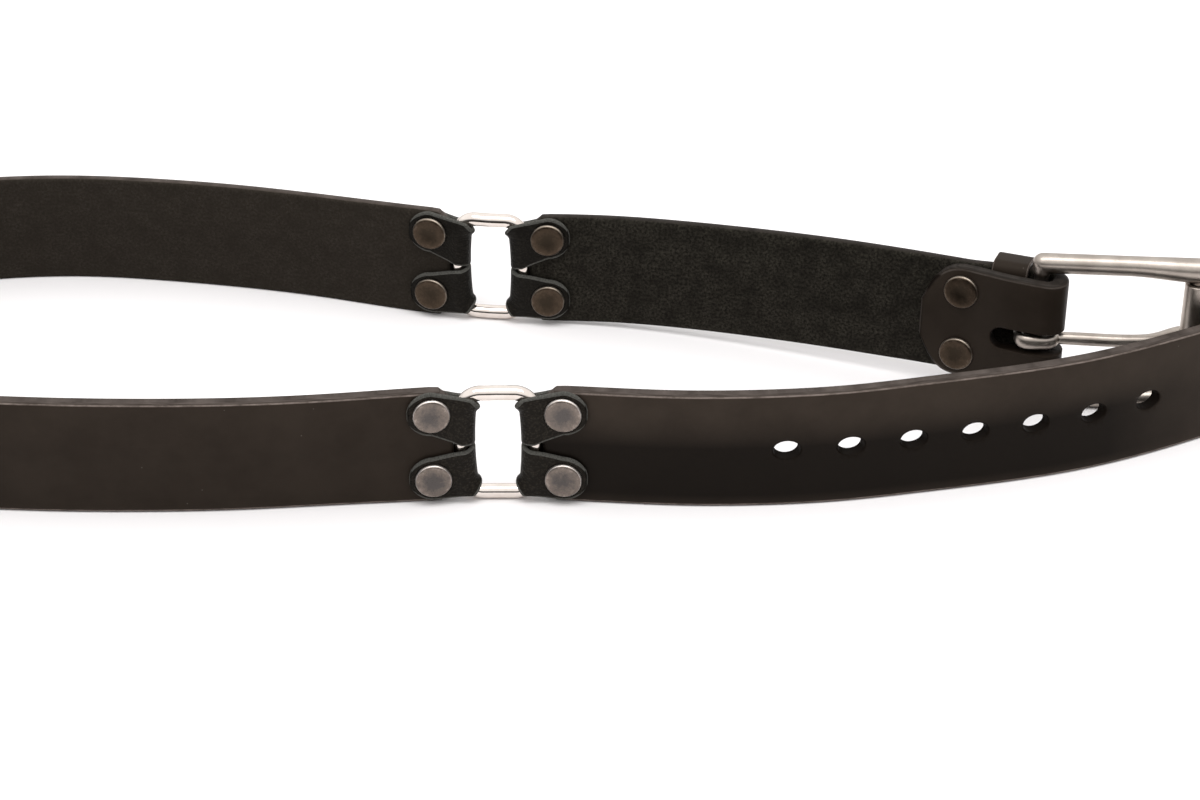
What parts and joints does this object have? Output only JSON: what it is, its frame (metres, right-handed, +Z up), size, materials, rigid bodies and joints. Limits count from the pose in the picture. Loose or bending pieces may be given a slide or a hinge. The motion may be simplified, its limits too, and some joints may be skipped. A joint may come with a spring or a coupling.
{
  "type": "roller buckle belt",
  "caption": "Leather belt standing on edge in an open loop, its lengths joined by oval metal rings with riveted tabs, with a roller buckle and punched free end.",
  "frame": {"origin": "middle of the belt's box in plan, on the floor that it stands on", "axes": "+X from the closed end of the loop to the free tip, +Y from the punched length in front to the buckle length behind, +Z up"},
  "size_m": [0.5448, 0.1482, 0.053],
  "materials": {
    "strap_leather": "smooth dark brown-black strap leather, satin, worn lighter along its edges",
    "tab_leather": "thin black pebbled leather, matte, with fuzzy cut edges",
    "aged_rivet": "aged dark brass, satin, rubbed bright on the rim",
    "polished_nickel": "polished nickel plate",
    "satin_nickel": "aged satin nickel plate, warm grey, lightly tarnished"
  },
  "bodies": {
    "belt": {"billet_strap": "strap_leather", "back_strap": "strap_leather", "buckle_strap": "strap_leather", "keeper_loop": "strap_leather", "tab_front_after_upper": "tab_leather", "tab_front_after_lower": "tab_leather", "tab_front_before_upper": "tab_leather", "tab_front_before_lower": "tab_leather", "tab_back_after_upper": "tab_leather", "tab_back_after_lower": "tab_leather", "tab_back_before_upper": "tab_leather", "tab_back_before_lower": "tab_leather", "rivet_front_after_upper": "aged_rivet", "rivet_front_after_lower": "aged_rivet", "rivet_front_before_upper": "aged_rivet", "rivet_front_before_lower": "aged_rivet", "rivet_back_after_upper": "aged_rivet", "rivet_back_after_lower": "aged_rivet", "rivet_back_before_upper": "aged_rivet", "rivet_back_before_lower": "aged_rivet", "rivet_flap_upper": "aged_rivet", "rivet_flap_lower": "aged_rivet", "ring_front": "polished_nickel", "ring_back": "polished_nickel"},
    "frame": {"buckle_frame": "satin_nickel"},
    "prong": {"buckle_prong": "satin_nickel"},
    "roller": {"buckle_roller": "satin_nickel"}
  },
  "joints": [
    {"name": "buckle_swing", "type": "hinge", "parent": "belt", "child": "frame", "pos_m": [0.15493, -0.01141, 0.0265], "axis": [0, 0, 1], "range_deg": [-6, 25]},
    {"name": "prong_lift", "type": "hinge", "parent": "frame", "child": "prong", "pos_m": [0.15493, -0.01141, 0.0243], "axis": [0, 0, 1], "range_deg": [0, 50]},
    {"name": "roller_turn", "type": "hinge", "parent": "frame", "child": "roller", "pos_m": [0.20219, -0.01505, 0.0265], "axis": [0, 0, 1], "continuous": true}
  ]
}
